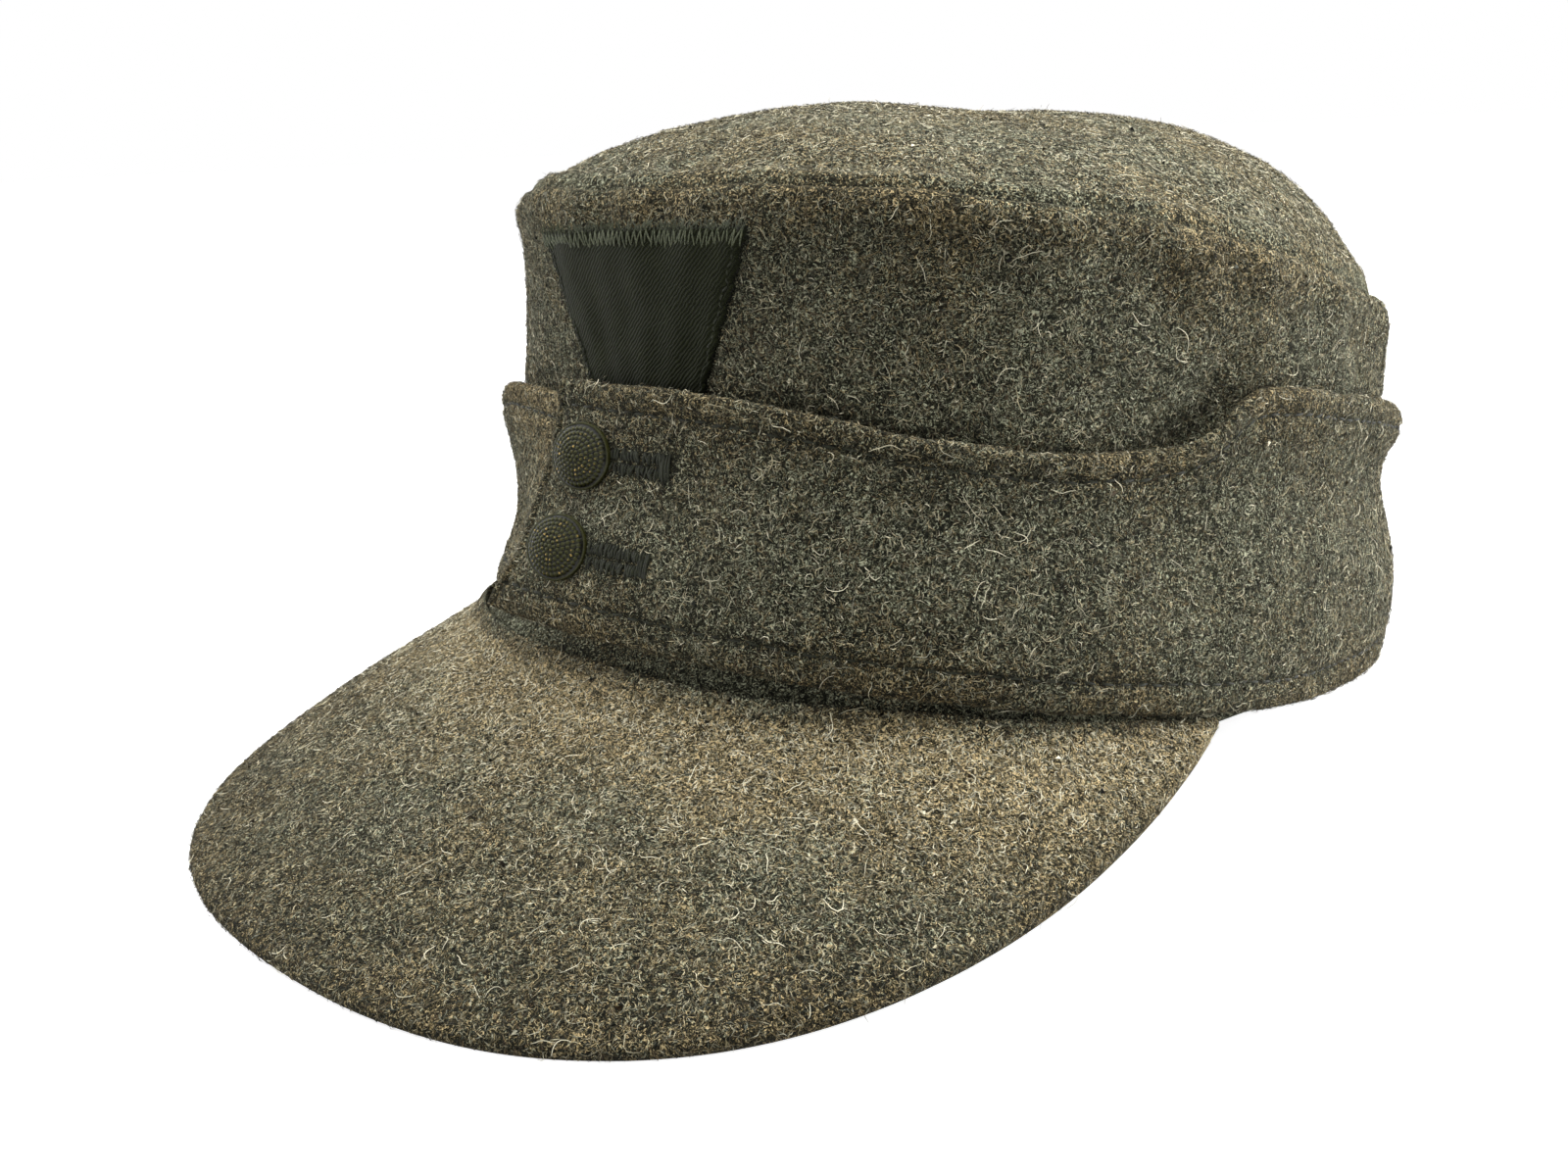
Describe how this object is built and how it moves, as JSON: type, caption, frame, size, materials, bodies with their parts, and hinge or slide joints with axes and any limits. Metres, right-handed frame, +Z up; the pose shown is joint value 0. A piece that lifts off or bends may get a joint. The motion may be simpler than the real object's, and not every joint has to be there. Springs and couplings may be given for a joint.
{
  "type": "field cap",
  "caption": "Wool field cap with a domed crown, a long peak, a buttoned flap turned up all round and a bare front patch.",
  "frame": {"origin": "middle of the cap's base as it rests on a level surface", "axes": "+Z up, -Y to the front, where the peak points, +X to the wearer's left"},
  "size_m": [0.1874, 0.2758, 0.1241],
  "materials": {
    "wool": "napped field-grey melange wool cloth",
    "twill": "dark green twill",
    "button_metal": "pebbled metal, dull field-grey paint with worn high spots"
  },
  "bodies": {
    "root": {"crown_top": "wool", "crown_wall": "wool", "turn_up": "wool", "peak": "wool", "front_patch": "twill", "upper_button": "button_metal", "lower_button": "button_metal"}
  },
  "joints": []
}
